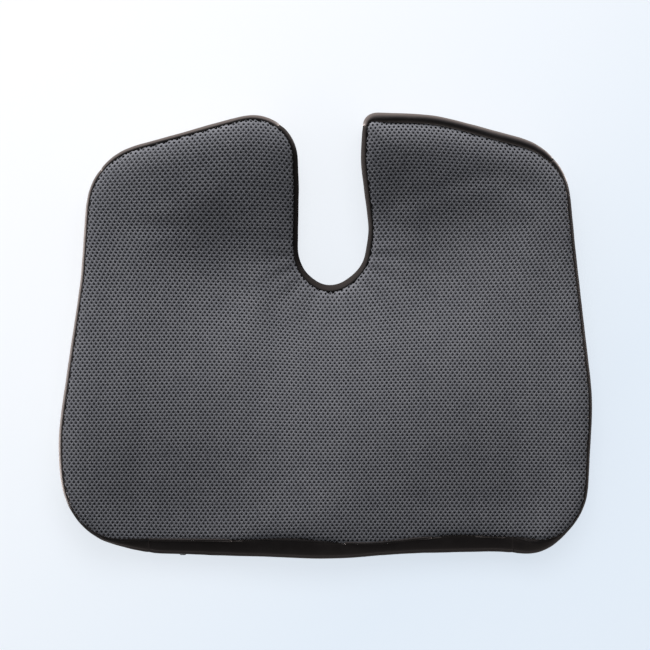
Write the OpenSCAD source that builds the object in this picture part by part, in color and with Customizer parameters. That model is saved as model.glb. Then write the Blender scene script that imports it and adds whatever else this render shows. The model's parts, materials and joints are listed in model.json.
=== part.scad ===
// Contoured memory-foam seat cushion with a coccyx notch and a zipped fabric cover.
//
// Frame: +Z is up, +Y is the rear of the seat (the notch opens there), -Y is the knee side,
// where the zip is. The origin is the middle of the cushion's box, on the surface it lies on.
// The cover is cut from an air-mesh top panel, a band of plush in seven pieces and a
// non-slip bottom panel. All lengths are in millimetres.

/* [Outline] */
// Width across the widest part, at the thighs
cushion_w = 450; // [430:1:470]
// Length from the front edge to the rear edge
cushion_l = 376; // [366:1:386]
// Width across the two rear lobes
rear_w = 408; // [400:1:416]
// Radius of the two front corners
front_corner_r = 72; // [66:1:78]
// Radius of the right lobe's outer corner
right_corner_r = 56; // [48:1:60]
// Radius of the left lobe's outer corner
left_corner_r = 58; // [45:1:62]

/* [Coccyx notch] */
// Width of the notch at its round end
notch_w = 61; // [56:1:66]
// Depth of the notch from the rear edge
notch_l = 145; // [135:1:150]
// How far the notch sits to the right of the middle
notch_x = 5.5; // [0:0.5:8]
// Radius where the right lobe turns into the notch
right_lip_r = 11; // [9:1:14]
// Radius where the left lobe turns into the notch
left_lip_r = 38; // [30:1:40]

/* [Thickness] */
// Thickness at the front edge
front_h = 54; // [50:1:57]
// Thickness over the rear lobes
rear_h = 71; // [66:1:76]
// Depth of the two seat bowls
bowl_d = 9; // [4:0.5:11]
// Depth of the two thigh channels
thigh_d = 8; // [3:0.5:9]
// Height of the ridge between the thighs
ridge_h = 4; // [1:0.5:5]
// Rise of the outer sides
bolster_h = 6; // [1:0.5:7]
// How far the top rolls down to the seam
roll_h = 4; // [3:0.5:8]
// Width of the rolled edge
roll_w = 30; // [20:1:32]

/* [Cover] */
// Thickness of the air-mesh top panel
mesh_t = 4.5; // [3:0.5:6]
// Thickness of the plush band
band_t = 1.6; // [1.2:0.1:2]
// Thickness of the bottom panel
bottom_t = 1.2; // [1:0.1:1.6]
// How far the top seam stands in from the band at the front
front_lean = 15; // [10:1:17]
// How far the top seam stands in from the band at the right rear
right_rear_lean = 8; // [4:0.5:10]
// How far the top seam stands in from the band at the left rear
left_rear_lean = 4; // [3:0.5:8]
// How far the top seam stands in from the band at the notch's round end
notch_lean = 5; // [3:0.5:7]
// How far the top seam stands in from the band at the sides
side_lean = 3; // [2:0.5:4]
// How far the bottom seam stands in from the band
foot_lean = 4; // [3:0.5:5]

/* [Grip dots] */
// Diameter of one non-slip dot
dot_d = 5; // [3:0.5:7]
// Spacing of the dots along a row
dot_pitch = 25; // [20:1:32]
// Height of a dot
dot_h = 0.8; // [0.5:0.1:1]

/* [Zip] */
// Height of the zip's middle line above the surface the cushion lies on
zip_z = 14; // [13:0.5:16]
// Length of the zip chain between its end stops
zip_l = 262; // [220:1:262]
// Width of one zip tape
tape_w = 9; // [7:0.5:9]
// Length of the slider's body
slider_l = 10; // [8:0.5:12]
// Length of the pull tab
tab_l = 26; // [18:1:27]

/* [Hidden] */

$fn = 48;
gap = 0.3;              // clearance between two layers of the cushion
arc_step = 12;          // largest angle between outline points on an arc, degrees
line_step = 15;         // largest distance between outline points
grid_step = 14;         // spacing of the points of the top surface
band_rows = 5;          // points up the outer face of the band
widest_u = 0.6;         // part of the band's height at which it stands out furthest
notch_dip = 5.5;        // how far the surface dips at the notch's round end
rim_w = 12;             // width of the bottom panel's rim, which touches the surface

// Where the seat surface rises towards the rear: first y and length of each slope.
left_rise = [49, 144];
right_rise = [85, 105];
side_rise = [40, 260];
side_share = [139, 63];     // the sides' slope takes over from this far out, over this width

// Middle (distance out, y) and half sizes of the soft hollows and of the ridge.
bowl_at = [80, 60];
bowl_size = [50, 69];
thigh_at = [141, -152];
thigh_size = [90, 70];
ridge_y = -150;
ridge_size = [48, 66];
bolster_run = [153, 70];    // distance out at which the sides start to rise, and its width
dip_size = [44, 34];
dip_ahead = 8;              // how far ahead of the notch's end the dip is deepest

base_z = dot_h + bottom_t;      // top of the bottom panel
band_z = base_z + 0.1;          // bottom edge of the band
foam_z = base_z + gap;          // underside of the foam
cut_h = 120;            // taller than the cushion, for cutting shapes

// ---- Outline ---------------------------------------------------------------------------

half_w = cushion_w / 2;
half_l = cushion_l / 2;
notch_end = half_l - notch_l;
notch_r = 30;           // radius of the curves at the notch's round end
notch_right = notch_x + notch_w / 2;
notch_left = notch_x - notch_w / 2;

// Corners of the outline, anticlockwise from the front left: x, y and the corner's radius.
CORNERS = [
    [6 - half_w, -half_l, front_corner_r + 2],
    [half_w - 7, -half_l, front_corner_r - 8],
    [half_w, -55, 220],
    [rear_w / 2 + 6, 75, 220],
    [rear_w / 2 - 2, half_l - 31, right_corner_r],
    [92, half_l - 1, 150],
    [notch_right - 4.5, half_l + 0.5, right_lip_r],
    [notch_right - 6.5, 148, 90],
    [notch_right + 0.5, 90, 60],
    [notch_right - 4.2, notch_end + 15, notch_r],
    [notch_x - 1.7, notch_end - 4.8, notch_r - 8],
    [notch_left + 1.5, notch_end + 14.5, notch_r],
    [notch_left + 2.5, 125, 150],
    [notch_left, half_l + 10, left_lip_r],
    [5 - rear_w / 2, half_l - 38, left_corner_r],
    [-2 - rear_w / 2, 50, 150],
    [-half_w - 0.5, -85, 200]
];
FRONT_LEFT = 0;
FRONT_RIGHT = 1;
RIGHT_CORNER = 4;
RIGHT_LIP = 6;
LEFT_LIP = 13;
LEFT_CORNER = 14;

function unit(v) = v / norm(v);
function corner_xy(k) = let (c = CORNERS[(k + len(CORNERS)) % len(CORNERS)]) [c.x, c.y];

// The arc that rounds corner k: evenly spaced points from one tangent point to the other.
function corner_arc(k) =
    let (
        p = corner_xy(k),
        r = CORNERS[k][2],
        before = unit(corner_xy(k - 1) - p),
        after = unit(corner_xy(k + 1) - p),
        half = acos(before * after) / 2,
        centre = p + unit(before + after) * r / sin(half),
        start = p + before * r / tan(half) - centre,
        left_turn = before.y * after.x - before.x * after.y > 0 ? 1 : -1,
        turn = left_turn * (180 - 2 * half),
        steps = ceil(max(abs(turn) / arc_step, abs(turn) * PI / 180 * r / line_step, 2))
    )
    [for (i = [0 : steps])
        let (a = turn * i / steps)
        centre + [start.x * cos(a) - start.y * sin(a), start.x * sin(a) + start.y * cos(a)]];

ARCS = [for (k = [0 : len(CORNERS) - 1]) corner_arc(k)];

// Points inside the straight stretch that follows corner k's arc.
function straight_after(k) =
    let (
        a = ARCS[k][len(ARCS[k]) - 1],
        b = ARCS[(k + 1) % len(ARCS)][0],
        steps = ceil(norm(b - a) / line_step)
    )
    steps < 2 ? [] : [for (i = [1 : steps - 1]) a + (b - a) * i / steps];

PIECES = [for (k = [0 : len(ARCS) - 1]) concat(ARCS[k], straight_after(k))];
RAW = [for (piece = PIECES) each piece];
RAW_MIN = [min([for (p = RAW) p.x]), min([for (p = RAW) p.y])];
RAW_MAX = [max([for (p = RAW) p.x]), max([for (p = RAW) p.y])];

// The widest line of the band, brought to the exact width and length.
OUTLINE = [for (p = RAW)
    [(p.x - (RAW_MIN.x + RAW_MAX.x) / 2) * cushion_w / (RAW_MAX.x - RAW_MIN.x),
     (p.y - (RAW_MIN.y + RAW_MAX.y) / 2) * cushion_l / (RAW_MAX.y - RAW_MIN.y)]];
N = len(OUTLINE);

// Index in OUTLINE of corner k's first point, and of the middle of its arc.
function corner_start(k) = k == 0 ? 0 : corner_start(k - 1) + len(PIECES[k - 1]);
function corner_end(k) = corner_start(k) + len(ARCS[k]) - 1;
function corner_middle(k) = corner_start(k) + floor((len(ARCS[k]) - 1) / 2);

function at(i) = OUTLINE[(i + N) % N];
function outward(i) = let (d = unit(at(i + 1) - at(i - 1))) [d.y, -d.x];

// How far the top seam stands in from the widest line at point i.
function top_lean(i) =
    let (
        n = outward(i),
        lobe = at(i).x > notch_x ? right_rear_lean : left_rear_lean,
        rear = at(i).y < half_l - notch_l / 2 ? notch_lean : lobe,
        share = n.y < 0 ? pow(n.y, 8) : pow(n.y, 2)
    )
    side_lean + ((n.y < 0 ? front_lean : rear) - side_lean) * share;

function inset_point(i, distance) = at(i) - outward(i) * distance;
TOP_SEAM = [for (i = [0 : N - 1]) inset_point(i, top_lean(i))];
PANEL_EDGE = [for (i = [0 : N - 1]) inset_point(i, top_lean(i) + band_t + gap / 2)];
FOOT_EDGE = [for (i = [0 : N - 1]) inset_point(i, foot_lean)];

// ---- Distances -------------------------------------------------------------------------

function line_distance(p, a, b) =
    let (
        ab = b - a,
        t = max(0, min(1, ((p - a) * ab) / (ab * ab)))
    )
    norm(p - a - t * ab);

function crosses(p, a, b) =
    (a.y > p.y) != (b.y > p.y) && p.x < a.x + (b.x - a.x) * (p.y - a.y) / (b.y - a.y);

function is_inside(p, ring) =
    len([for (i = [0 : N - 1]) if (crosses(p, ring[i], ring[(i + 1) % N])) 1]) % 2 == 1;

// Distance from p in to the ring, or 0 outside it.
function depth_inside(p, ring) =
    !is_inside(p, ring) ? 0
    : min([for (i = [0 : N - 1]) line_distance(p, ring[i], ring[(i + 1) % N])]);

// ---- Top surface -----------------------------------------------------------------------

function smooth(t) = let (c = max(0, min(1, t))) c * c * (3 - 2 * c);
function bump(dx, dy) = exp(-(dx * dx + dy * dy));

// The share of the rise to the rear that is reached at x, y. The left lobe rises sooner
// than the right one, and the outer sides rise more slowly than both.
function rise(x, y) =
    let (
        slope = x < notch_x ? left_rise : right_rise,
        lobe = smooth((y - slope[0]) / slope[1]),
        side = smooth((y - side_rise[0]) / side_rise[1]),
        out = smooth((abs(x - notch_x) - side_share[0]) / side_share[1])
    )
    lobe * (1 - out) + side * out;

// Height of the seat surface, before its edge rolls down to the seam.
function contour(x, y) =
    front_h + (rear_h - front_h) * rise(x, y)
    - bowl_d * bump((abs(x - notch_x) - bowl_at.x) / bowl_size.x, (y - bowl_at.y) / bowl_size.y)
    - thigh_d * bump((abs(x) - thigh_at.x) / thigh_size.x, (y - thigh_at.y) / thigh_size.y)
    + ridge_h * bump(x / ridge_size.x, (y - ridge_y) / ridge_size.y)
    + bolster_h * smooth((abs(x) - bolster_run[0]) / bolster_run[1])
    - notch_dip * bump((x - notch_x) / dip_size.x, (y - notch_end + dip_ahead) / dip_size.y);

function rolled(x, y, depth) =
    let (t = max(0, 1 - depth / roll_w))
    contour(x, y) - roll_h * t * t;

function seam_height(i) = let (p = TOP_SEAM[(i + N) % N]) rolled(p.x, p.y, 0);

grid_nx = ceil((cushion_w + 20) / grid_step);
grid_ny = ceil((cushion_l + 20) / grid_step);
function grid_x(i) = (i - grid_nx / 2) * grid_step;
function grid_y(j) = (j - grid_ny / 2) * grid_step;
function grid_row(j) = j * (grid_nx + 1);
function grid_heights() =
    [for (j = [0 : grid_ny]) for (i = [0 : grid_nx])
        let (p = [grid_x(i), grid_y(j)])
        rolled(p.x, p.y, depth_inside(p, TOP_SEAM))];

function grid_layer(heights) =
    [for (j = [0 : grid_ny]) for (i = [0 : grid_nx])
        [grid_x(i), grid_y(j), heights[grid_row(j) + i]]];

// The cells of the grid as pairs of triangles that face up or down.
function grid_faces(first, up) =
    [for (j = [0 : grid_ny - 1]) for (i = [0 : grid_nx - 1])
        let (
            a = first + grid_row(j) + i,
            b = a + 1,
            c = a + grid_nx + 2,
            d = a + grid_nx + 1
        )
        each up ? [[a, c, b], [a, d, c]] : [[a, b, c], [a, c, d]]];

// The border of the grid, anticlockwise from its first point.
function grid_border() = concat(
    [for (i = [0 : grid_nx]) i],
    [for (j = [1 : grid_ny]) grid_row(j) + grid_nx],
    [for (i = [1 : grid_nx]) grid_row(grid_ny) + grid_nx - i],
    [for (j = [1 : grid_ny - 1]) grid_row(grid_ny - j)]
);

// A solid between two layers of heights over the whole grid.
module between(lower, upper) {
    layer = len(lower);
    border = grid_border();
    walls = [for (k = [0 : len(border) - 1])
        let (
            a = border[k],
            b = border[(k + 1) % len(border)]
        )
        each [[a, a + layer, b + layer], [a, b + layer, b]]];
    polyhedron(
        points = concat(grid_layer(lower), grid_layer(upper)),
        faces = concat(grid_faces(0, false), grid_faces(layer, true), walls)
    );
}

// ---- Side wall -------------------------------------------------------------------------

// How far the band's outer face stands in from the widest line at point i and at u of its
// height, where u is 0 at the bottom seam and 1 at the top seam.
function wall_inset(i, u) =
    u < widest_u ? foot_lean * pow((widest_u - u) / widest_u, 2)
    : top_lean(i) * pow((u - widest_u) / (1 - widest_u), 2);

function wall_point(i, u, depth) =
    let (p = inset_point(i, wall_inset(i, u) + depth))
    [p.x, p.y, band_z + (seam_height(i) - band_z) * u];

// Closed cross-section of the full-height band at point i: up the outside, down the inside.
function band_section(i) = concat(
    [for (k = [0 : band_rows]) wall_point(i, k / band_rows, 0)],
    [for (k = [0 : band_rows]) wall_point(i, 1 - k / band_rows, band_t)]
);

// Skins a list of closed sections that have the same number of points.
module skin(sections, closed = false) {
    m = len(sections[0]);
    last = len(sections) - (closed ? 1 : 2);
    walls = [for (s = [0 : last]) for (k = [0 : m - 1])
        let (
            a = s * m + k,
            b = s * m + (k + 1) % m,
            c = (s + 1) % len(sections) * m + (k + 1) % m,
            d = (s + 1) % len(sections) * m + k
        )
        each [[a, b, c], [a, c, d]]];
    ends = closed ? [] : [
        [for (k = [m - 1 : -1 : 0]) k],
        [for (k = [0 : m - 1]) (len(sections) - 1) * m + k]
    ];
    polyhedron(
        points = [for (section = sections) each section],
        faces = concat(walls, ends)
    );
}

module band(first, last) {
    color([0.10, 0.09, 0.10]) skin([for (i = [first : last]) band_section(i)]);
}

// The space inside the band: stacked copies of the outline, open upwards past the top.
module inner_space(depth) {
    rings = concat(
        [for (k = [0 : band_rows]) [for (i = [0 : N - 1]) wall_point(i, k / band_rows, depth)]],
        [[for (i = [0 : N - 1]) let (p = inset_point(i, top_lean(i) + depth)) [p.x, p.y, cut_h]]]
    );
    last = (len(rings) - 1) * N;
    walls = [for (r = [0 : len(rings) - 2]) for (i = [0 : N - 1])
        let (
            a = r * N + i,
            b = r * N + (i + 1) % N
        )
        each [[a, a + N, b], [b, a + N, b + N]]];
    polyhedron(
        points = [for (ring = rings) each ring],
        faces = concat(
            walls,
            [[for (i = [0 : N - 1]) i]],
            [[for (i = [N - 1 : -1 : 0]) last + i]]
        )
    );
}

// ---- Zip -------------------------------------------------------------------------------

zip_start = corner_end(FRONT_LEFT);
zip_end = corner_start(FRONT_RIGHT);
zip_x = (OUTLINE[zip_start].x + OUTLINE[zip_end].x) / 2;
slot_l = OUTLINE[zip_end].x - OUTLINE[zip_start].x;
slot_h = 10;            // height of the slot that shows the chain
slot_row = 3;           // first row of the band's points above the slot
tape_t = 0.6;
tape_y = 7.5 - half_l;  // middle of the tapes' thickness
coil_w = 2.4;
coil_t = 2;
chain_gap = 1.4;        // gap between the two coils, where the slider's neck runs
stop_l = 3;
plate_t = 0.9;
slider_h = 8.6;
neck_t = 0.8;
crown_h = 2;
coil_y = tape_y - tape_t / 2 - coil_t;          // outer face of the coils
plate_y = coil_y - gap - plate_t;               // outer face of the slider's outer plate
inner_y = tape_y + tape_t / 2 + gap;            // outer face of the slider's inner plate
slider_x = zip_x - zip_l / 2 + slider_l / 2 + 1;
slider_front_l = 4;     // length of the neck at the slider's leading end
crown_l = 6;
bridge_w = 2;
bridge_t = 0.7;
tab_w = 6.4;
tab_t = 0.8;
tab_arm_l = 4.4;
tab_arm_w = 1.8;
tab_hole_d = 3;
tab_axis_y = plate_y - (crown_h - bridge_t) / 2;

// A strip of the front band between two heights, with a lip that turns in to the zip tape.
function strip_u(i, z) = (z - band_z) / (seam_height(i) - band_z);
lip_y = tape_y - tape_t / 2 - gap;

function upper_section(i) =
    let (
        u = strip_u(i, zip_z + slot_h / 2),
        u_in = strip_u(i, zip_z + slot_h / 2 + band_t),
        low = wall_point(i, u, 0),
        in = wall_point(i, u_in, band_t)
    )
    concat(
        [low],
        [for (k = [slot_row : band_rows]) wall_point(i, k / band_rows, 0)],
        [for (k = [band_rows : -1 : slot_row]) wall_point(i, k / band_rows, band_t)],
        [in, [in.x, lip_y, in.z], [low.x, lip_y, low.z]]
    );

function lower_section(i) =
    let (
        u = strip_u(i, zip_z - slot_h / 2),
        u_in = strip_u(i, zip_z - slot_h / 2 - band_t),
        high = wall_point(i, u, 0),
        in = wall_point(i, u_in, band_t)
    )
    [wall_point(i, 0, 0), wall_point(i, u / 2, 0), high,
     [high.x, lip_y, high.z], [in.x, lip_y, in.z],
     in, wall_point(i, u_in / 2, band_t), wall_point(i, 0, band_t)];

// A box from one corner to the other.
module block(low, high) {
    translate(low) cube(high - low);
}

module tape(low_z, high_z) {
    half = slot_l / 2 - gap;
    color([0.08, 0.08, 0.09]) block(
        [zip_x - half, tape_y - tape_t / 2, low_z],
        [zip_x + half, tape_y + tape_t / 2, high_z]
    );
}

// One nylon coil as a bar with a rounded outer face.
module coil(low_z) {
    color([0.05, 0.05, 0.06])
        translate([zip_x - zip_l / 2, 0, 0])
            rotate([90, 0, 90])
                linear_extrude(zip_l)
                    polygon(concat(
                        [[coil_y + coil_t, low_z], [coil_y + coil_t, low_z + coil_w]],
                        [for (a = [90 : 15 : 270])
                            [coil_y + coil_w / 2 + coil_w / 2 * cos(a),
                             low_z + coil_w / 2 + coil_w / 2 * sin(a)]]
                    ));
}

// ---- Sub-parts -------------------------------------------------------------------------

module foam_core() {
    heights = grid_heights();
    color([0.93, 0.91, 0.84]) resize([0, 0, 0]) difference() {
        intersection() {
            inner_space(band_t + gap);
            between(
                [for (h = heights) foam_z],
                [for (h = heights) h - mesh_t - gap]
            );
        }
        // Groove behind the zip, where the soft foam gives way to the slider.
        block(
            [zip_x - slot_l / 2, -half_l - 1, zip_z - tape_w - 1.5],
            [zip_x + slot_l / 2, inner_y + plate_t + 1, zip_z + tape_w + 1.5]
        );
    }
}

module top_panel() {
    heights = grid_heights();
    color([0.34, 0.34, 0.36]) resize([0, 0, 0]) intersection() {
        translate([0, 0, 1]) linear_extrude(cut_h) polygon(PANEL_EDGE);
        between([for (h = heights) h - mesh_t], heights);
    }
}

module bottom_panel() {
    // Inset points that would cross at the tight lip are left out.
    inner_edge = [for (i = [0 : N - 1])
        let (p = inset_point(i, foot_lean + rim_w))
        if (depth_inside(p, FOOT_EDGE) > rim_w - gap) p];
    color([0.12, 0.12, 0.13]) difference() {
        linear_extrude(base_z) polygon(FOOT_EDGE);
        translate([0, 0, -1]) linear_extrude(1 + dot_h) polygon(inner_edge);
    }
}

module grip_dots() {
    row_step = dot_pitch * sin(60);
    rows = floor(half_l / row_step);
    columns = floor(half_w / dot_pitch) + 1;
    margin = rim_w + dot_d;
    color([0.25, 0.25, 0.27])
        for (j = [-rows : rows], i = [-columns : columns]) {
            p = [(i + (j % 2 == 0 ? 0 : 0.5)) * dot_pitch, j * row_step];
            if (depth_inside(p, FOOT_EDGE) > margin)
                translate([p.x, p.y, 0]) cylinder(h = dot_h, d1 = dot_d - 1, d2 = dot_d);
        }
}

module side_band_right() band(corner_start(FRONT_RIGHT), corner_middle(RIGHT_CORNER));

module rear_band_right() band(corner_middle(RIGHT_CORNER), corner_end(RIGHT_LIP));

module notch_band() band(corner_end(RIGHT_LIP), corner_middle(LEFT_LIP));

module rear_band_left() band(corner_middle(LEFT_LIP), corner_middle(LEFT_CORNER));

module side_band_left() band(corner_middle(LEFT_CORNER), N + corner_end(FRONT_LEFT));

module front_band_upper() {
    color([0.10, 0.09, 0.10]) skin([for (i = [zip_start : zip_end]) upper_section(i)]);
}

module front_band_lower() {
    color([0.10, 0.09, 0.10]) skin([for (i = [zip_start : zip_end]) lower_section(i)]);
}

module zip_tape_upper() tape(zip_z + chain_gap / 2, zip_z + tape_w);

module zip_tape_lower() tape(zip_z - tape_w, zip_z - chain_gap / 2);

module zip_coil_upper() coil(zip_z + chain_gap / 2);

module zip_coil_lower() coil(zip_z - chain_gap / 2 - coil_w);

// Two metal stops, one on each tape, at the end where the zip is shut.
module zip_top_stops() {
    x = zip_x - zip_l / 2 - stop_l;
    color([0.35, 0.34, 0.33])
        for (z = [zip_z + chain_gap / 2, zip_z - chain_gap / 2 - coil_w])
            block([x, coil_y, z], [x + stop_l - gap, coil_y + coil_t - 0.05, z + coil_w]);
}

// One metal stop across both tapes, at the end where the slider stops when the zip is open.
module zip_bottom_stop() {
    x = zip_x + zip_l / 2 + gap;
    reach = chain_gap / 2 + coil_w;
    color([0.35, 0.34, 0.33])
        block([x, coil_y, zip_z - reach], [x + stop_l, coil_y + coil_t - 0.05, zip_z + reach]);
}

// Outer plate with side flanges, inner plate, the neck that joins them, and the crown.
module zip_slider() {
    half_h = slider_h / 2;
    flange_t = 0.8;
    flange_y = tape_y - tape_t / 2 - gap;
    inner_half_h = half_h - 0.6;
    color([0.16, 0.16, 0.17]) translate([slider_x, 0, zip_z]) {
        block([-slider_l / 2, plate_y, -half_h], [slider_l / 2, plate_y + plate_t, half_h]);
        for (side = [-1, 1]) {
            low = side < 0 ? -half_h : half_h - flange_t;
            block([-slider_l / 2, plate_y, low], [slider_l / 2, flange_y, low + flange_t]);
        }
        block([-slider_l / 2, inner_y, -inner_half_h],
              [slider_l / 2, inner_y + plate_t, inner_half_h]);
        block([-slider_l / 2, plate_y, -neck_t / 2],
              [slider_front_l - slider_l / 2, inner_y + plate_t, neck_t / 2]);
        crown();
    }
}

// The bridge on the outer plate that holds the pull tab, open along Z under its middle.
module crown() {
    leg = 1.2;
    outer = plate_y - crown_h;
    for (x = [-crown_l / 2, crown_l / 2 - leg])
        block([x, outer, -bridge_w / 2], [x + leg, plate_y, bridge_w / 2]);
    block([-crown_l / 2, outer, -bridge_w / 2], [crown_l / 2, outer + bridge_t, bridge_w / 2]);
}

// The tab lies over the closed chain. Its round bar turns under the crown's bridge.
module pull_tab() {
    bar_gap = tab_arm_w + bridge_w / 2 + gap;
    color([0.16, 0.16, 0.17]) translate([slider_x, tab_axis_y, zip_z]) {
        translate([0, 0, -bar_gap]) cylinder(h = 2 * bar_gap, d = tab_t);
        for (z = [-bar_gap, bar_gap - tab_arm_w])
            block([0, -tab_t / 2, z], [tab_arm_l, tab_t / 2, z + tab_arm_w]);
        translate([0, tab_t / 2, 0]) rotate([90, 0, 0]) linear_extrude(tab_t) tab_grip();
    }
}

// The flat grip, with a round end and a hole.
module tab_grip() {
    end_x = tab_l - tab_w / 2;
    difference() {
        union() {
            translate([tab_arm_l, -tab_w / 2]) square([end_x - tab_arm_l, tab_w]);
            translate([end_x, 0]) circle(d = tab_w);
        }
        translate([end_x, 0]) circle(d = tab_hole_d);
    }
}

foam_core();
top_panel();
bottom_panel();
grip_dots();
side_band_left();
side_band_right();
rear_band_left();
rear_band_right();
notch_band();
front_band_upper();
front_band_lower();
zip_tape_upper();
zip_tape_lower();
zip_coil_upper();
zip_coil_lower();
zip_top_stops();
zip_bottom_stop();
zip_slider();
pull_tab();
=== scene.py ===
"""Looks of the zipped seat cushion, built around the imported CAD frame.

The cover is wrapped over the CAD model: the seam lines, the band's face and the height of
the top are sampled from the CAD nodes, swollen by a cloth simulation, and rebuilt as an
open air-mesh top, plush bands, a dotted bottom panel and a working zip. Metres, +Z up.
"""
import json
import math

import bmesh
import bpy
import numpy as np
from mathutils import Matrix, Vector, noise
from mathutils.bvhtree import BVHTree


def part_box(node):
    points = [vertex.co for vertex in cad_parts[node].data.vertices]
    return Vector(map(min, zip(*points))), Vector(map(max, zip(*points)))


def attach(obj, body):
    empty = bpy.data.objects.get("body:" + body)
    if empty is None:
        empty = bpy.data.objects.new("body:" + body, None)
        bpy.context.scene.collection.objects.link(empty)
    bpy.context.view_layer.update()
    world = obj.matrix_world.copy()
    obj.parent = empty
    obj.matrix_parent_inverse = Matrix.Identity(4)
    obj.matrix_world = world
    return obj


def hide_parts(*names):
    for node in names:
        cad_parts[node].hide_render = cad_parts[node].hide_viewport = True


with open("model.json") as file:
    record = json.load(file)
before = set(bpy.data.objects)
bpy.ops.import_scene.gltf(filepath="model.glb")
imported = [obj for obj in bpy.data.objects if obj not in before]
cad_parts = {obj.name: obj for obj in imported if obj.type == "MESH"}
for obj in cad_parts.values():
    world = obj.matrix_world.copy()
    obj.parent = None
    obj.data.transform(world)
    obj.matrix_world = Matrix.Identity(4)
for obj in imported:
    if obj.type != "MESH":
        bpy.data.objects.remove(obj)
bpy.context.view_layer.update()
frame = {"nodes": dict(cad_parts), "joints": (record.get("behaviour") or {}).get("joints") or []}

MM = 0.001
CUSHION = "cushion"
BANDS = ["side_band_left", "side_band_right", "rear_band_left", "rear_band_right",
         "notch_band", "front_band_upper", "front_band_lower"]
SOFT_NODES = ["foam_core", "top_panel", "bottom_panel"] + BANDS

# ---- Sizes -----------------------------------------------------------------------------

STATIONS = 880          # points round the cushion
ROWS = 26               # rows up a band
SEAM_OUT = 0.9 * MM     # how far the seam stands out from the air-mesh panel's edge
ROLL_W = 30 * MM        # width of the rolled edge of the top
ROLL_H = 4 * MM         # how far it rolls down
GRID = 4 * MM           # spacing of the height samples
HOLE_A = 3.8 * MM       # distance between two holes of the air mesh along a row
HOLE_B = 5.2 * MM       # distance between every second row
PLUSH_T = 1.4 * MM      # thickness of the plush
CREASE = 1.1 * MM       # depth of the crease at a seam
CREST_U = 0.72          # height from which a band puffs up before it dips to the top seam
REACH = 30 * MM         # how far outside a band the rays start that sample its face
SHRINK = 1.2 * MM       # how much smaller the foam and the simulated form are all round
HOLE_DROP = 0.4 * MM    # how far the rim of a mesh hole lies below the strands
LOWER_FACE = 1.6 * MM   # how far the mesh's lower face lies below the upper one
FOAM_SETBACK = 6 * MM   # how far the foam's front stands back inside the cover
DOT_R = 2.5 * MM        # radius of a grip dot

# Swells of the top seam along the front: inward shift in mm, middle and half width in x.
SEAM_SWELLS = [(2.3, -0.034, 0.028), (-3.2, 0.036, 0.030),
               (4.2, 0.112, 0.036), (3.0, 0.175, 0.035)]


# ---- Camera, light and floor -----------------------------------------------------------

def make_camera():
    """Looks straight down at the cushion, as it faces the viewer; the rear is up."""
    distance = 3.2
    field = 0.5486          # width seen at the height of the band's widest line
    plane = 0.033
    data = bpy.data.cameras.new("camera")
    data.sensor_width = 36
    data.lens = 36 * distance / field
    cam = bpy.data.objects.new("camera", data)
    cam.location = (-0.0004, 0.0093, plane + distance)
    bpy.context.scene.collection.objects.link(cam)
    bpy.context.scene.camera = cam


def area_light(name, location, size, power, colour=(1, 1, 1), target=(0, 0, 0.03)):
    data = bpy.data.lights.new(name, "AREA")
    data.shape = "DISK"
    data.size = size
    data.energy = power
    data.color = colour
    light = bpy.data.objects.new(name, data)
    light.location = location
    aim = Vector(target) - Vector(location)
    light.rotation_euler = aim.to_track_quat("-Z", "Y").to_euler()
    bpy.context.scene.collection.objects.link(light)
    return light


def make_lights(floor):
    """A large softbox low at the rear, one above and a weak fill light the cushion.

    The floor has its own shadowless light in place of the key and the fill, so that it stays
    pale and even; only the light above casts a soft shadow, towards the front.
    """
    key = area_light("rear_key", (-1.9, 5.2, 1.85), 2.8, 830, (0.99, 0.99, 1.0))
    backdrop = area_light("backdrop_fill", (0.0, 0.0, 3.1), 0.9, 80)
    backdrop.data.use_shadow = False
    fill = area_light("front_right_fill", (2.6, -1.6, 1.2), 1.5, 12)
    area_light("overhead", (0.1, 1.2, 2.6), 1.6, 9)
    for light, state in ((key, "EXCLUDE"), (fill, "EXCLUDE"), (backdrop, "INCLUDE")):
        linked = bpy.data.collections.new(light.name + "_receivers")
        linked.objects.link(floor)
        linked.collection_objects[0].light_linking.link_state = state
        light.light_linking.receiver_collection = linked
    make_world()
    bpy.context.scene.view_settings.view_transform = "Standard"


def make_world():
    """Pale above the horizon, dark below it."""
    world = bpy.data.worlds.new("world")
    bpy.context.scene.world = world
    world.use_nodes = True
    nodes, links = world.node_tree.nodes, world.node_tree.links
    background = nodes["Background"]
    background.inputs["Strength"].default_value = 0.16
    coords = nodes.new("ShaderNodeTexCoord")
    parts = nodes.new("ShaderNodeSeparateXYZ")
    ramp = nodes.new("ShaderNodeValToRGB")
    ramp.color_ramp.elements[0].position = 0.0
    ramp.color_ramp.elements[0].color = (0.02, 0.02, 0.02, 1)
    ramp.color_ramp.elements[1].position = 0.04
    ramp.color_ramp.elements[1].color = (0.88, 0.94, 1.0, 1)
    links.new(coords.outputs["Generated"], parts.inputs["Vector"])
    links.new(parts.outputs["Z"], ramp.inputs["Fac"])
    links.new(ramp.outputs["Color"], background.inputs["Color"])


def make_floor():
    bm = bmesh.new()
    bmesh.ops.create_grid(bm, x_segments=8, y_segments=8, size=4)
    floor = new_object("floor", bm)
    floor.data.materials.append(floor_material())
    floor.visible_diffuse = False
    floor.visible_glossy = False
    return floor


# ---- Materials -------------------------------------------------------------------------

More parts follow.
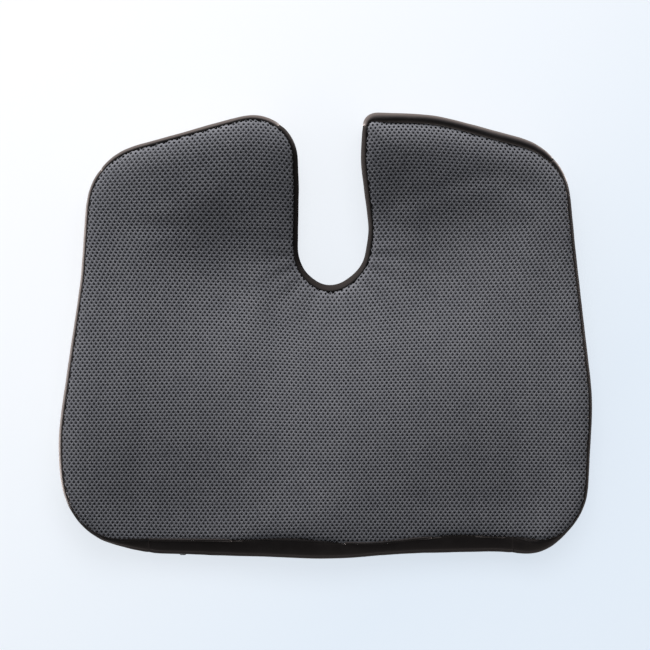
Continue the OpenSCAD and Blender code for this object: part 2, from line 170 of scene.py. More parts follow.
class Shader:
    """A small builder for one Principled material."""

    def __init__(self, name):
        self.material = bpy.data.materials.new(name)
        self.material.use_nodes = True
        self.tree = self.material.node_tree
        self.nodes = self.tree.nodes
        self.surface = self.nodes["Principled BSDF"]
        coords = self.add("ShaderNodeTexCoord")
        self.coords = coords.outputs["Object"]
        self.normal = coords.outputs["Normal"]

    def add(self, kind, **values):
        node = self.nodes.new(kind)
        for name, value in values.items():
            if hasattr(node, name):
                setattr(node, name, value)
            else:
                node.inputs[name.replace("_", " ")].default_value = value
        return node

    def link(self, output, node, socket):
        self.tree.links.new(output, node.inputs[socket])

    def set(self, **values):
        for name, value in values.items():
            self.surface.inputs[name.replace("_", " ")].default_value = value

    def scaled(self, scale, turn=0.0):
        """Object coordinates, scaled and turned about Z."""
        mapping = self.add("ShaderNodeMapping")
        mapping.inputs["Scale"].default_value = scale
        mapping.inputs["Rotation"].default_value = (0, 0, turn)
        self.link(self.coords, mapping, "Vector")
        return mapping.outputs["Vector"]

    def noise(self, scale, detail=3.0, rough=0.55, stretch=(1, 1, 1)):
        node = self.add("ShaderNodeTexNoise")
        node.inputs["Scale"].default_value = scale
        node.inputs["Detail"].default_value = detail
        node.inputs["Roughness"].default_value = rough
        self.link(self.scaled(stretch), node, "Vector")
        return node.outputs["Fac"]

    def wave(self, scale, direction="X", turn=0.0, distortion=0.0):
        node = self.add("ShaderNodeTexWave")
        node.wave_type = "BANDS"
        node.bands_direction = direction
        node.inputs["Scale"].default_value = scale
        node.inputs["Distortion"].default_value = distortion
        self.link(self.scaled((1, 1, 1), turn), node, "Vector")
        return node.outputs["Fac"]

    def ramp(self, factor, stops):
        """Colours at positions along factor: [(position, (r, g, b)), ...]."""
        node = self.add("ShaderNodeValToRGB")
        ramp = node.color_ramp
        while len(ramp.elements) < len(stops):
            ramp.elements.new(0.5)
        for element, (position, colour) in zip(ramp.elements, stops):
            element.position = position
            element.color = (*colour, 1)
        self.link(factor, node, "Fac")
        return node.outputs["Color"]

    def math(self, operation, a, b):
        node = self.add("ShaderNodeMath")
        node.operation = operation
        for socket, value in zip(node.inputs, (a, b)):
            if isinstance(value, (int, float)):
                socket.default_value = value
            else:
                self.tree.links.new(value, socket)
        return node.outputs["Value"]

    def mix(self, factor, a, b, blend="MIX"):
        node = self.add("ShaderNodeMix")
        node.data_type = "RGBA"
        node.blend_type = blend
        colours = [s for s in node.inputs if s.type == "RGBA"]
        factors = [s for s in node.inputs if s.name == "Factor" and s.type == "VALUE"]
        for socket, value in ((factors[0], factor), (colours[0], a), (colours[1], b)):
            if isinstance(value, (int, float)):
                socket.default_value = value
            elif isinstance(value, tuple):
                socket.default_value = (*value, 1)
            else:
                self.tree.links.new(value, socket)
        return [s for s in node.outputs if s.type == "RGBA"][0]

    def colour(self, output):
        self.link(output, self.surface, "Base Color")

    def roughness(self, factor, low, high):
        node = self.add("ShaderNodeMapRange")
        node.inputs["To Min"].default_value = low
        node.inputs["To Max"].default_value = high
        self.link(factor, node, "Value")
        self.link(node.outputs["Result"], self.surface, "Roughness")

    def bump(self, height, distance, strength=1.0):
        node = self.add("ShaderNodeBump")
        node.inputs["Distance"].default_value = distance
        node.inputs["Strength"].default_value = strength
        self.link(height, node, "Height")
        if self.surface.inputs["Normal"].is_linked:
            before = self.surface.inputs["Normal"].links[0].from_socket
            self.link(before, node, "Normal")
        self.link(node.outputs["Normal"], self.surface, "Normal")


def floor_material():
    """White at the rear left, pale blue towards the front right: painted light that falls off
    across the floor.
    """
    s = Shader("floor_pale")
    parts = s.add("ShaderNodeSeparateXYZ")
    s.link(s.coords, parts, "Vector")
    across = s.math("SUBTRACT", parts.outputs["X"], parts.outputs["Y"])
    fade = s.math("ADD", s.math("MULTIPLY", across, 0.9), 0.5)
    s.colour(s.ramp(fade, [(0.05, (0.96, 0.96, 0.97)), (0.75, (0.75, 0.82, 0.90))]))
    s.set(Roughness=0.9, Specular_IOR_Level=0.0)
    return s.material


def air_mesh_material():
    """Knitted strands: fine yarn twist along both diagonals and a soft mottle."""
    s = Shader("air_mesh_knit")
    turn = math.atan2(HOLE_B, HOLE_A)
    twist_a = s.wave(900, "X", turn, 2.0)
    twist_b = s.wave(900, "X", -turn, 2.0)
    twist = s.math("MULTIPLY", twist_a, twist_b)
    mottle = s.noise(55, 3.0)
    fine = s.noise(1500, 2.0)
    base = s.ramp(twist, [(0.0, (0.099, 0.100, 0.111)), (0.6, (0.155, 0.156, 0.171))])
    soft = s.ramp(mottle, [(0.3, (0.90, 0.90, 0.92)), (0.7, (1.06, 1.05, 1.05))])
    s.colour(s.mix(1.0, base, soft, "MULTIPLY"))
    s.roughness(fine, 0.55, 0.8)
    s.set(Specular_IOR_Level=0.35, Sheen_Weight=0.25, Sheen_Roughness=0.5)
    s.bump(twist, 0.00012, 0.7)
    s.bump(fine, 0.00008, 0.5)
    return s.material


def spacer_material():
    """The dark lower face of the air mesh, seen through its holes."""
    s = Shader("air_mesh_lower_face")
    pile = s.noise(700, 3.0)
    s.colour(s.ramp(pile, [(0.3, (0.040, 0.040, 0.044)), (0.75, (0.074, 0.074, 0.082))]))
    s.roughness(pile, 0.8, 0.95)
    s.set(Specular_IOR_Level=0.15)
    s.bump(pile, 0.0003, 0.8)
    return s.material


def plush_material(name, sheen, shade):
    """Short-pile plush: near black on top, with a painted sheen of warm grey on upright faces; a
    shade below 1 darkens the whole copy as painted shade.
    """
    s = Shader(name)
    lay = s.noise(38, 4.0, 0.6, (1, 1, 0.45))
    fine = s.noise(1100, 3.0, 0.7)
    clump = s.noise(260, 3.0, 0.6)
    base = s.ramp(lay, [(0.3, (0.007, 0.0062, 0.0066)), (0.5, (0.013, 0.0115, 0.012)),
                        (0.75, (0.028, 0.0245, 0.0242))])
    # The fine mottle is dust; shade scales it, and below 1 it is painted shade.
    dust_and_painted_shade = s.ramp(fine, [(0.3, (0.75 * shade, 0.75 * shade, 0.75 * shade)),
                         (0.75, (1.3 * shade, 1.27 * shade, 1.25 * shade))])
    pile = s.mix(1.0, base, dust_and_painted_shade, "MULTIPLY")
    normal = s.add("ShaderNodeSeparateXYZ")
    s.link(s.normal, normal, "Vector")
    # Upright faces are painted a lighter warm grey: a painted sheen where light grazes the pile.
    upright = s.math("SUBTRACT", 1.0, s.math("ABSOLUTE", normal.outputs["Z"], 0.0))
    painted_sheen_grey = (0.100 * shade, 0.081 * shade, 0.074 * shade)
    s.colour(s.mix(upright, pile, painted_sheen_grey))
    s.roughness(lay, 0.75, 0.95)
    s.set(Specular_IOR_Level=0.12, Sheen_Weight=sheen, Sheen_Roughness=0.34,
          Sheen_Tint=(0.80, 0.69, 0.65, 1))
    s.bump(lay, 0.0012, 0.35)
    s.bump(clump, 0.0004, 0.5)
    s.bump(fine, 0.0002, 0.7)
    return s.material


def base_fabric_material():
    """Tightly woven non-slip cloth."""
    s = Shader("base_weave")
    warp = s.wave(420, "X")
    weft = s.wave(420, "Y")
    weave = s.math("MULTIPLY", warp, weft)
    mottle = s.noise(30, 3.0)
    base = s.ramp(weave, [(0.0, (0.012, 0.012, 0.013)), (0.8, (0.034, 0.034, 0.037))])
    soft = s.ramp(mottle, [(0.3, (0.85, 0.85, 0.86)), (0.7, (1.15, 1.15, 1.15))])
    s.colour(s.mix(1.0, base, soft, "MULTIPLY"))
    s.roughness(weave, 0.6, 0.85)
    s.set(Specular_IOR_Level=0.3)
    s.bump(weave, 0.00025, 0.8)
    return s.material


def grip_material():
    s = Shader("grip_rubber")
    grain = s.noise(900, 2.0)
    s.colour(s.ramp(grain, [(0.3, (0.035, 0.035, 0.038)), (0.7, (0.055, 0.055, 0.06))]))
    s.roughness(grain, 0.35, 0.55)
    s.bump(grain, 0.00006, 0.5)
    return s.material


def tape_material():
    """Woven zip tape with a herringbone rib."""
    s = Shader("zip_tape_weave")
    rib_a = s.wave(900, "X", math.radians(35))
    rib_b = s.wave(900, "Z")
    weave = s.math("MULTIPLY", rib_a, rib_b)
    s.colour(s.ramp(weave, [(0.0, (0.008, 0.008, 0.009)), (0.8, (0.026, 0.026, 0.028))]))
    s.roughness(weave, 0.6, 0.85)
    s.bump(weave, 0.00015, 0.8)
    return s.material


def nylon_material():
    s = Shader("zip_coil_nylon")
    grain = s.noise(1400, 2.0)
    s.colour(s.ramp(grain, [(0.3, (0.026, 0.026, 0.028)), (0.7, (0.042, 0.042, 0.045))]))
    s.roughness(grain, 0.28, 0.42)
    return s.material


def plated_material():
    """Dark plating on die-cast metal, a little rubbed."""
    s = Shader("zip_metal_plating")
    grain = s.noise(420, 4.0, 0.65)
    rub = s.ramp(grain, [(0.45, (0.11, 0.11, 0.115)), (0.72, (0.19, 0.188, 0.185))])
    s.colour(rub)
    s.roughness(grain, 0.22, 0.42)
    s.set(Metallic=0.65, Coat_Weight=0.4, Coat_Roughness=0.15)
    s.bump(grain, 0.00003, 0.4)
    return s.material


def foam_material():
    """Open-cell memory foam."""
    s = Shader("memory_foam_cells")
    cells = s.add("ShaderNodeTexVoronoi")
    cells.inputs["Scale"].default_value = 900
    s.link(s.coords, cells, "Vector")
    distance = cells.outputs["Distance"]
    s.colour(s.ramp(distance, [(0.05, (0.80, 0.76, 0.62)), (0.5, (0.88, 0.85, 0.74))]))
    s.roughness(distance, 0.8, 0.95)
    s.bump(distance, 0.0003, 0.6)
    return s.material


def thread_material():
    s = Shader("sewing_thread")
    twist = s.wave(1600, "X", math.radians(30))
    s.colour(s.ramp(twist, [(0.0, (0.035, 0.035, 0.035)), (0.8, (0.075, 0.073, 0.072))]))
    s.roughness(twist, 0.4, 0.6)
    s.bump(twist, 0.00006, 0.6)
    return s.material


# ---- Mesh helpers ----------------------------------------------------------------------

def new_object(name, bm):
    mesh = bpy.data.meshes.new(name)
    bm.to_mesh(mesh)
    bm.free()
    obj = bpy.data.objects.new(name, mesh)
    bpy.context.scene.collection.objects.link(obj)
    return obj


def object_from(name, points, faces, material):
    mesh = bpy.data.meshes.new(name)
    mesh.from_pydata([tuple(p) for p in points], [], [tuple(f) for f in faces])
    mesh.validate()
    mesh.polygons.foreach_set("use_smooth", [True] * len(mesh.polygons))
    mesh.materials.append(material)
    obj = bpy.data.objects.new(name, mesh)
    bpy.context.scene.collection.objects.link(obj)
    return obj


def declare(obj, body, slot, *nodes):
    """Hangs a piece on the body it rides on and hides the CAD nodes it stands for. slot, the
    piece's finish, is not used.
    """
    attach(obj, body)
    if nodes:
        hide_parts(*nodes)


def add_modifier(obj, kind, **values):
    modifier = obj.modifiers.new(kind.lower(), kind)
    for name, value in values.items():
        setattr(modifier, name, value)
    return modifier


def apply_modifiers(obj):
    """Replaces an object's mesh with its evaluated mesh."""
    graph = bpy.context.evaluated_depsgraph_get()
    mesh = bpy.data.meshes.new_from_object(obj.evaluated_get(graph), depsgraph=graph)
    obj.modifiers.clear()
    obj.data = mesh


def vertex_values(obj, kind):
    out = np.zeros(len(obj.data.vertices) * 3)
    obj.data.vertices.foreach_get(kind, out)
    return out.reshape(-1, 3)


def coordinates(obj):
    return vertex_values(obj, "co")


def move_vertices(obj, points):
    obj.data.vertices.foreach_set("co", points.ravel())


def soft_copy(name, nodes, voxel, passes):
    """One smooth mesh over CAD nodes, and its points drawn in a little."""
    bm = bmesh.new()
    for node in nodes:
        bm.from_mesh(frame["nodes"][node].data)
    obj = new_object(name, bm)
    add_modifier(obj, "REMESH", mode="VOXEL", voxel_size=voxel, adaptivity=0.0)
    add_modifier(obj, "SMOOTH", factor=0.5, iterations=passes)
    apply_modifiers(obj)
    return obj, coordinates(obj) - vertex_values(obj, "normal") * SHRINK


def joined_tree(objects):
    """One search tree over several objects, and the object that each face came from."""
    points, faces, owners = [], [], []
    for owner, obj in enumerate(objects):
        first = len(points)
        points.extend(coordinates(obj).tolist())
        for p in obj.data.polygons:
            faces.append([first + v for v in p.vertices])
            owners.append(owner)
    return BVHTree.FromPolygons(points, faces), owners


def smooth_ring(values, width):
    """Gaussian smoothing of values round a closed ring, with width in stations."""
    reach = int(3 * width) + 1
    weights = np.exp(-0.5 * (np.arange(-reach, reach + 1) / width) ** 2)
    weights /= weights.sum()
    out = np.zeros_like(values)
    for weight, shift in zip(weights, range(-reach, reach + 1)):
        out += weight * np.roll(values, shift, axis=0)
    return out


def resampled_ring(points, count, width):
    """A closed line at even spacing, smoothed by a Gaussian of that width in metres."""
    closed = np.vstack([points, points[:1]])
    step = np.linalg.norm(np.diff(closed[:, :2], axis=0), axis=1)
    along = np.concatenate([[0], np.cumsum(step)])
    at = np.linspace(0, along[-1], count, endpoint=False)
    ring = np.stack([np.interp(at, along, closed[:, k]) for k in range(3)], axis=1)
    return smooth_ring(ring, width * count / along[-1])


def ring_normals(ring):
    """Outward normals, in plan, of an anticlockwise ring."""
    tangent = np.roll(ring[:, :2], -1, axis=0) - np.roll(ring[:, :2], 1, axis=0)
    tangent /= np.linalg.norm(tangent, axis=1, keepdims=True)
    return np.stack([tangent[:, 1], -tangent[:, 0]], axis=1)


def signed_area(ring):
    x, y = ring[:, 0], ring[:, 1]
    return 0.5 * np.sum(x * np.roll(y, -1) - y * np.roll(x, -1))


# ---- Lines of the CAD model ------------------------------------------------------------

def rim_line(node, is_flat, is_wall):
    """The longest closed line of edges between a flat face and a wall face of a node."""
    bm = bmesh.new()
    bm.from_mesh(frame["nodes"][node].data)
    bmesh.ops.remove_doubles(bm, verts=bm.verts, dist=1e-6)
    bm.normal_update()
    links = {}
    for edge in bm.edges:
        if len(edge.link_faces) != 2:
            continue
        a, b = edge.link_faces
        if (is_flat(a) and is_wall(b)) or (is_flat(b) and is_wall(a)):
            for v, w in (edge.verts, reversed(edge.verts)):
                links.setdefault(v.index, []).append(w.index)
    place = {v.index: tuple(v.co) for v in bm.verts}
    bm.free()
    best, seen = [], set()
    for start in links:
        if start in seen:
            continue
        line, here, last = [start], start, None
        seen.add(start)
        while True:
            ahead = [v for v in links[here] if v != last and v not in seen]
            if not ahead:
                break
            last, here = here, ahead[0]
            seen.add(here)
            line.append(here)
        if len(line) > len(best):
            best = line
    ring = np.array([place[v] for v in best])
    return ring if signed_area(ring) > 0 else ring[::-1]


def seam_line():
    return rim_line("top_panel", lambda f: f.normal.z > 0.3, lambda f: abs(f.normal.z) < 0.2)


def foot_line():
    return rim_line("bottom_panel",
                    lambda f: f.normal.z < -0.9 and f.calc_center_median().z < 1e-4,
                    lambda f: abs(f.normal.z) < 0.2)


def crossing_depth(origins, normals, ring):
    """How far in along -normal each origin meets the ring, in plan."""
    a, b = ring[:, :2], np.roll(ring[:, :2], -1, axis=0)
    edge = b - a
    out = np.zeros(len(origins))
    for i, (p, n) in enumerate(zip(origins, normals)):
        cross = -n[0] * edge[:, 1] + n[1] * edge[:, 0]
        gap = a - p
        with np.errstate(divide="ignore", invalid="ignore"):
            t = (gap[:, 0] * edge[:, 1] - gap[:, 1] * edge[:, 0]) / cross
            u = (gap[:, 0] * -n[1] - gap[:, 1] * -n[0]) / cross
        hits = t[(u >= 0) & (u < 1) & (np.abs(t) < 0.04)]
        out[i] = hits[np.argmin(np.abs(hits))] if len(hits) else np.nan
    good = ~np.isnan(out)
    out[~good] = np.interp(np.flatnonzero(~good), np.flatnonzero(good), out[good])
    return out


# ---- The soft form ---------------------------------------------------------------------

def gauss(d, width):
    return np.exp(-(d / width) ** 2)


def front_sag(x, normal_y):
    """How far the front stands back from its straight line, where it hangs slack."""
    left = 3.4 * (1 - gauss(x, 0.075)) + 3.4 * gauss(x + 0.172, 0.022)
    right = 5.4 * (1 - gauss(x, 0.062)) - 4.6 * gauss(x - 0.185, 0.022)
    return np.where(x < 0, left, right) * MM * np.clip(-normal_y, 0, 1) ** 2


def seam_wave(x, normal_y):
    """Rise and dip of the top seam along the front, inwards positive."""
    wave = sum(shift * gauss(x - middle, width) for shift, middle, width in SEAM_SWELLS)
    return wave * MM * np.clip(-normal_y, 0, 1) ** 4


class Form:
    """Stations round the cushion: foot line, band face and seam, sampled from the CAD."""

    def __init__(self):
        self.foot = resampled_ring(foot_line(), STATIONS, 3 * MM)
        self.normal = smooth_ring(ring_normals(self.foot), 1.5)
        self.normal /= np.linalg.norm(self.normal, axis=1, keepdims=True)
        seam = resampled_ring(seam_line(), 3 * STATIONS, 1.6 * MM)
        depth = crossing_depth(self.foot[:, :2], self.normal, seam)
        self.seam_depth = smooth_ring(depth, 1.5) - SEAM_OUT
        x, ny = self.foot[:, 0], self.normal[:, 1]
        self.sag = front_sag(x, ny)
        self.seam_depth += seam_wave(x, ny)
        rear = np.clip(ny, 0, 1) * (self.foot[:, 1] > 0.12)
        self.crest = smooth_ring(np.where(x > 0, 8.0, 3.0) * rear * MM, 6) + 1.0 * MM
        self.foot_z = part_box("bottom_panel")[1].z
        gap = np.linalg.norm(seam[None, ::3, :2] - self.foot[:, None, :2], axis=2)
        self.seam_z = smooth_ring(seam[::3, 2][np.argmin(gap, axis=1)], 4)
        self.seam_z += 1.0 * MM * np.clip(-ny, 0, 1) ** 2 - 0.28 * self.crest
        self.owner = [None] * STATIONS
        self.face = self.sample_band()

    def sample_band(self):
        """Distance of the band's outer face from the foot line, at each station and row."""
        nodes = [frame["nodes"][n] for n in BANDS]
        tree, owners = joined_tree(nodes)
        face = np.full((STATIONS, ROWS + 1), np.nan)
        for i in range(STATIONS):
            n = self.normal[i]
            for k in range(1, ROWS):
                z = self.height(i, k / ROWS)
                start = Vector((*(self.foot[i, :2] + n * REACH), z))
                hit, _, index, distance = tree.ray_cast(start, Vector((-n[0], -n[1], 0)),
                                                        2 * REACH)
                if hit is not None:
                    face[i, k] = REACH - distance
                    if k == int(0.8 * ROWS):
                        self.owner[i] = BANDS[owners[index]]
            face[i, 0] = 0
            face[i, ROWS] = face[i, ROWS - 1] if not np.isnan(face[i, ROWS - 1]) else 0
            rows = np.arange(ROWS + 1)
            good = ~np.isnan(face[i])
            face[i] = np.interp(rows, rows[good], face[i][good])
        face = smooth_ring(face, 3)
        face[:, ROWS] = -self.seam_depth + self.sag
        # The face closes on the seam line over its last rows.
        for k in range(ROWS - 3, ROWS):
            t = (k - (ROWS - 4)) / 4
            face[:, k] = face[:, k] * (1 - 0.5 * t * t) + 0.5 * t * t * face[:, ROWS]
        return face

    def height(self, i, u):
        return self.foot_z + (self.seam_z[i] - self.foot_z) * u

    def place(self, i, out, z):
        """The point at station i that stands out from the foot line by out."""
        p = self.foot[i, :2] + self.normal[i] * (out - self.sag[i])
        return (p[0], p[1], z)


def seam_ring(form):
    ring = form.foot[:, :2] - form.normal * form.seam_depth[:, None]
    return np.column_stack([ring, form.seam_z])


def foot_ring(form):
    ring = form.foot[:, :2] - form.normal * form.sag[:, None]
    return np.column_stack([ring, np.full(STATIONS, form.foot_z)])


def ring_distance(points, ring):
    """Distance in plan to a ring, negative outside, with the nearest point's index."""
    tree_points = ring[:, :2]
    distance = np.empty(len(points))
    nearest = np.empty(len(points), int)
    normals = ring_normals(ring)
    for first in range(0, len(points), 4000):
        block = points[first:first + 4000, None, :2] - tree_points[None]
        square = np.einsum("ijk,ijk->ij", block, block)
        index = np.argmin(square, axis=1)
        rows = np.arange(len(index))
        offset = block[rows, index]
        side = -np.einsum("ij,ij->i", offset, normals[index])
        size = np.sqrt(square[rows, index])
        distance[first:first + len(index)] = np.where(side >= 0, size, -size)
        nearest[first:first + len(index)] = index
    return distance, nearest


def ring_sheet(ring, step):
    """A grid over a ring: its points, depths, nearest ring points and quads that face up."""
    low, high = ring[:, :2].min(0), ring[:, :2].max(0)
    nx, ny = np.ceil((high - low) / step).astype(int) + 2
    xs = low[0] + (np.arange(nx) - 0.5) * step
    ys = low[1] + (np.arange(ny) - 0.5) * step
    points = np.array([(x, y) for y in ys for x in xs])
    depth, near = ring_distance(points, ring)
    outside = depth < 0
    points[outside] = ring[near[outside], :2]
    corners = [j * nx + i for j in range(ny - 1) for i in range(nx - 1)]
    quads = [(a, a + 1, a + nx + 1, a + nx) for a in corners]
    quads = [quad for quad in quads if not all(outside[list(quad)])]
    return points, np.maximum(depth, 0), near, quads


def drop_degenerate(obj):
    """Removes the faces of a sheet that have shrunk to nothing on its rim."""
    bm = bmesh.new()
    bm.from_mesh(obj.data)
    bmesh.ops.dissolve_degenerate(bm, dist=1e-5, edges=bm.edges)
    loose = [v for v in bm.verts if not v.link_faces]
    bmesh.ops.delete(bm, geom=loose, context="VERTS")
    bm.to_mesh(obj.data)
    bm.free()


# ---- Cloth simulation ------------------------------------------------------------------

def simulated_form(rings):
    """The cushion before and after its cover is blown up, as two search trees."""
    form, start = soft_copy("simulated_form", SOFT_NODES, 0.006, 3)
    move_vertices(form, start)
    before, _ = joined_tree([form])
    held = form.vertex_groups.new(name="held")
    near = np.min([np.abs(ring_distance(start, ring)[0])
                   + np.abs(start[:, 2] - ring[:, 2].mean()) * 0.25
                   for ring in rings], axis=0)
    held.add(np.flatnonzero(near < 6 * MM).tolist(), 1.0, "REPLACE")
    held.add(np.flatnonzero(start[:, 2] < 5 * MM).tolist(), 1.0, "REPLACE")
    cloth = add_modifier(form, "CLOTH")
    cloth.settings.quality = 4
    cloth.settings.mass = 0.3
    cloth.settings.tension_stiffness = 12
    cloth.settings.compression_stiffness = 12
    cloth.settings.bending_stiffness = 0.8
    cloth.settings.use_pressure = True
    cloth.settings.uniform_pressure_force = 4
    cloth.settings.vertex_group_mass = "held"
    cloth.settings.effector_weights.gravity = 0
    cloth.collision_settings.use_collision = False
    scene = bpy.context.scene
    for number in range(1, 21):
        scene.frame_set(number)
    apply_modifiers(form)
    scene.frame_set(1)
    moved = coordinates(form) - start
    size = np.linalg.norm(moved, axis=1, keepdims=True)
    cap = 3.5 * MM
    moved *= np.minimum(1, cap / np.maximum(size, 1e-9))
    move_vertices(form, start + moved)
    after, _ = joined_tree([form])
    bpy.data.objects.remove(form)
    return before, after


# ---- Height of the top -----------------------------------------------------------------

def pull_folds(points, depth):
    """Shallow folds that fan out from the round end of the notch, where the cloth pulls."""
    x, y = points[:, 0] - 0.005, points[:, 1] - 0.072
    radius = np.hypot(x, y)
    angle = np.arctan2(y, x)
    reach = gauss(np.maximum(radius - 0.03, 0), 0.035) * np.clip(depth / (6 * MM), 0, 1)
    fan = np.sin(17 * angle + 0.6 * np.sin(5 * angle + 1.0))
    return 0.30 * MM * fan * reach * (y < 0.01)


class Top:
    """Height of the top surface as a smooth grid, without its rolled edge."""

    def __init__(self, ring, trees):
        low, high = ring[:, :2].min(0) - 0.012, ring[:, :2].max(0) + 0.012
        self.low = low
        self.nx, self.ny = (np.ceil((high - low) / GRID).astype(int) + 1)
        xs = low[0] + np.arange(self.nx) * GRID
        ys = low[1] + np.arange(self.ny) * GRID
        points = np.array([(x, y) for y in ys for x in xs])
        depth, _ = ring_distance(points, ring)
        cad, _ = joined_tree([frame["nodes"]["top_panel"]])
        heights = self.cast(cad, points, depth)
        roll = np.clip(1 - np.maximum(depth, 0) / ROLL_W, 0, 1)
        heights = heights + ROLL_H * roll ** 2
        self.plain = self.filled(heights, 7 * MM)
        self.swell = np.zeros((self.ny, self.nx))
        if trees:
            lift = self.cast(trees[1], points, depth) - self.cast(trees[0], points, depth)
            self.swell = self.filled(np.clip(lift, -1 * MM, 4 * MM), 5 * MM)

    def cast(self, tree, points, depth):
        """Heights seen from above, unknown outside the ring."""
        out = np.full(len(points), np.nan)
        down = Vector((0, 0, -1))
        for i in np.flatnonzero(depth > 2 * MM):
            hit = tree.ray_cast(Vector((*points[i], 0.2)), down)[0]
            if hit is not None:
                out[i] = hit.z
        return out

    def filled(self, values, width):
        """Smooths a grid with a Gaussian, which also fills its unknown points."""
        grid = values.reshape(self.ny, self.nx)
        known = ~np.isnan(grid)
        value = np.where(known, grid, 0)
        weight = known.astype(float)
        blurred = self.blur(value, width) / np.maximum(self.blur(weight, width), 1e-12)
        wide = self.blur(value, 22 * MM) / np.maximum(self.blur(weight, 22 * MM), 1e-12)
        share = np.clip(self.blur(weight, width) * 4, 0, 1)
        return blurred * share + wide * (1 - share)

    def blur(self, grid, width):
        sigma = width / GRID
        reach = int(3 * sigma) + 1
        weights = np.exp(-0.5 * (np.arange(-reach, reach + 1) / sigma) ** 2)
        weights /= weights.sum()
        for axis in (0, 1):
            grid = np.apply_along_axis(lambda r: np.convolve(r, weights, "same"), axis, grid)
        return grid

    def sample(self, grid, points):
        u = (points[:, 0] - self.low[0]) / GRID
        v = (points[:, 1] - self.low[1]) / GRID
        i = np.clip(u.astype(int), 0, self.nx - 2)
        j = np.clip(v.astype(int), 0, self.ny - 2)
        fu, fv = np.clip(u - i, 0, 1), np.clip(v - j, 0, 1)
        return ((grid[j, i] * (1 - fu) + grid[j, i + 1] * fu) * (1 - fv)
                + (grid[j + 1, i] * (1 - fu) + grid[j + 1, i + 1] * fu) * fv)

    def height(self, points, depth, seam_z):
        """Height of the cloth at points that lie depth in from the seam."""
        plateau = self.sample(self.plain, points)
        t = np.clip(1 - np.maximum(depth, 0) / ROLL_W, 0, 1)
        z = plateau - (plateau - seam_z) * t ** 2.6
        rise = np.clip(depth / (18 * MM), 0, 1)
        z = z + self.sample(self.swell, points) * rise * (2 - rise)
        crease = CREASE * gauss(np.maximum(depth, 0), 1.6 * MM)
        return z - crease + pull_folds(points, depth)


# ---- Air-mesh top ----------------------------------------------------------------------

def fabric_stretch(u, v):
    """Where the point (u, v) of the unsewn cloth lies once it is sewn and stretched."""
    left = 0.22 * 0.055 * np.tanh((u + 0.092) / 0.055) * gauss(v - 0.115, 0.065)
    right = 0.08 * 0.06 * np.tanh((u - 0.11) / 0.06) * gauss(v - 0.12, 0.06)
    x = u + left + right
    thigh = 0.03 * 0.08 * np.tanh((v + 0.10) / 0.08) * gauss(u + 0.12, 0.1)
    pull = -5.5 * MM * gauss(u - 0.005, 0.055) * gauss(v - 0.02, 0.045)
    lobes = 3.5 * MM * gauss(np.abs(u) - 0.06, 0.04) * gauss(v - 0.16, 0.05)
    y = v + thigh + pull + lobes
    ripple = 0.5 * MM * np.sin(u * 31 + 1.3) * np.sin(v * 27 + 0.4)
    return np.stack([x, y + ripple], axis=-1)


def make_air_mesh(ring, top):
    """The knitted upper face: a lattice of rhombic cells, each with an open hole."""
    half = 0.25
    rows = int(half / (HOLE_B / 2))
    columns = int(half / HOLE_A)
    width = 2 * columns + 4
    j, i = np.meshgrid(np.arange(-rows, rows + 1), np.arange(-columns, columns + 1),
                       indexing="ij")
    odd = j % 2
    u = (i + 0.5 * odd) * HOLE_A
    v = j * HOLE_B / 2

    def corner_id(i, j):
        return (j + rows + 1) * width + (i + columns + 1)

    def right_corner(i, j):
        return (i + 0.5 * (j % 2) + 0.5) * HOLE_A, j * HOLE_B / 2

    centres = fabric_stretch(u, v)
    depth, _ = ring_distance(centres.reshape(-1, 2), ring)
    kept = depth.reshape(u.shape) > -0.15 * HOLE_A
    across = np.where(odd == 0, i - 1, i)
    corner_keys = np.stack([corner_id(i, j), corner_id(across, j + 1),
                            corner_id(i - 1, j), corner_id(across, j - 1)], axis=-1)[kept]
    corner_uv = np.stack([
        np.stack(right_corner(i, j), -1), np.stack(right_corner(across, j + 1), -1),
        np.stack(right_corner(i - 1, j), -1), np.stack(right_corner(across, j - 1), -1)
    ], axis=-2)[kept]
    _, first, corner_index = np.unique(corner_keys.ravel(), return_index=True,
                                       return_inverse=True)
    corners = corner_uv.reshape(-1, 2)[first]
    corner_index = corner_index.reshape(-1, 4)
    cells = np.stack([u, v], -1)[kept]
    angles = np.radians([30, 90, 150, 210, 270, 330])
    hole = np.stack([0.235 * HOLE_A * np.cos(angles) / math.cos(math.radians(30)),
                     0.195 * HOLE_B * np.sin(angles)], -1)
    inner = (cells[:, None, :] + hole[None]).reshape(-1, 2)
    flat = fabric_stretch(*np.vstack([corners, inner]).T)
    depth, near = ring_distance(flat, ring)
    outside = depth < 0
    flat[outside] = ring[near[outside], :2]
    depth[outside] = 0
    z = top.height(flat, depth, ring[near, 2])
    z[len(corners):] -= HOLE_DROP
    points = np.column_stack([flat, z])
    count = len(cells)
    ring_ids = len(corners) + np.arange(count * 6).reshape(-1, 6)
    faces = []
    for (r, t, l, b), p in zip(corner_index.tolist(), ring_ids.tolist()):
        faces += [(r, t, p[1], p[0]), (t, l, p[2], p[1]), (l, p[3], p[2]),
                  (l, b, p[4], p[3]), (b, r, p[5], p[4]), (r, p[0], p[5])]
    return object_from("air_mesh_upper_face", points, faces, air_mesh_material())


def make_lower_face(ring, top):
    """The closed lower face of the air mesh, under its holes."""
    points, depth, near, quads = ring_sheet(ring, 5 * MM)
    z = top.height(points, depth, ring[near, 2]) - LOWER_FACE
    obj = object_from("air_mesh_lower_face", np.column_stack([points, z]), quads,
                      spacer_material())
    drop_degenerate(obj)
    return obj


# ---- Bands -----------------------------------------------------------------------------

def soft_offset(form, i, u, swell):
    """Small wrinkles and swelling of a band at station i and height u."""
    p = Vector((form.foot[i, 0] * 22, form.foot[i, 1] * 22, u * 0.9))
    q = Vector((form.foot[i, 0] * 75, form.foot[i, 1] * 75, u * 2.0 + 3))
    wrinkle = 0.55 * noise.noise(p) + 0.22 * noise.noise(q)
    middle = math.sin(math.pi * u)
    return wrinkle * middle * MM + swell * middle


